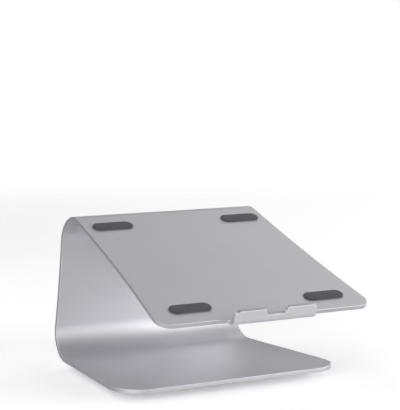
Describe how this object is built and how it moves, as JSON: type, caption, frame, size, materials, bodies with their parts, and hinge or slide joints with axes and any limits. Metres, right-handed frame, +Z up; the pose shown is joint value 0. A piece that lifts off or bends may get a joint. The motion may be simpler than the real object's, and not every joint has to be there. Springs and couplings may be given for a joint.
{
  "type": "laptop stand",
  "caption": "Bent aluminium laptop stand with a sloping tray, a notched front lip, rubber pads and a low ball-bearing swivel base.",
  "frame": {"origin": "on the floor, at the centre of the foot mat's underside, on the swivel's axis", "axes": "+Z up along the swivel's axis, -Y towards the lip and the user, +X to the user's right"},
  "size_m": [0.2466, 0.2553, 0.1589],
  "materials": {
    "anodised_plate": "bead-blasted and anodised silver-grey, satin",
    "disc_aluminium": "turned and anodised, satin",
    "pad_rubber": "matt soft rubber",
    "foot_rubber": "matt ribbed rubber",
    "race_steel": "pressed and zinc-plated",
    "ball_steel": "polished bearing steel",
    "screw_steel": "zinc-plated",
    "nylon": "natural moulded nylon"
  },
  "bodies": {
    "base": {"base_disc": "disc_aluminium", "foot_mat": "foot_rubber", "lower_race": "race_steel", "pivot_bushing": "nylon", "lower_race_screw_1": "screw_steel", "lower_race_screw_2": "screw_steel", "lower_race_screw_3": "screw_steel", "lower_race_screw_4": "screw_steel"},
    "stand": {"stand_body": "anodised_plate", "tray_pad_front_left": "pad_rubber", "tray_pad_front_right": "pad_rubber", "tray_pad_rear_left": "pad_rubber", "tray_pad_rear_right": "pad_rubber", "lip_pad_left": "pad_rubber", "lip_pad_right": "pad_rubber", "upper_race": "race_steel", "pivot_bolt": "screw_steel", "pivot_spacer": "race_steel", "upper_race_screw_1": "screw_steel", "upper_race_screw_2": "screw_steel", "upper_race_screw_3": "screw_steel", "upper_race_screw_4": "screw_steel"},
    "cage": {"ball_cage": "nylon", "ball_1": "ball_steel", "ball_2": "ball_steel", "ball_3": "ball_steel", "ball_4": "ball_steel", "ball_5": "ball_steel", "ball_6": "ball_steel", "ball_7": "ball_steel", "ball_8": "ball_steel", "ball_9": "ball_steel", "ball_10": "ball_steel", "ball_11": "ball_steel", "ball_12": "ball_steel", "ball_13": "ball_steel", "ball_14": "ball_steel", "ball_15": "ball_steel", "ball_16": "ball_steel"}
  },
  "joints": [
    {"name": "swivel", "type": "hinge", "parent": "base", "child": "stand", "pos_m": [0, 0, 0], "axis": [0, 0, 1], "continuous": true},
    {"name": "cage_turn", "type": "hinge", "parent": "base", "child": "cage", "pos_m": [0, 0, 0], "axis": [0, 0, 1], "continuous": true}
  ],
  "couplings": [
    {"joint": "cage_turn", "follows": "swivel", "ratio": 0.5}
  ]
}
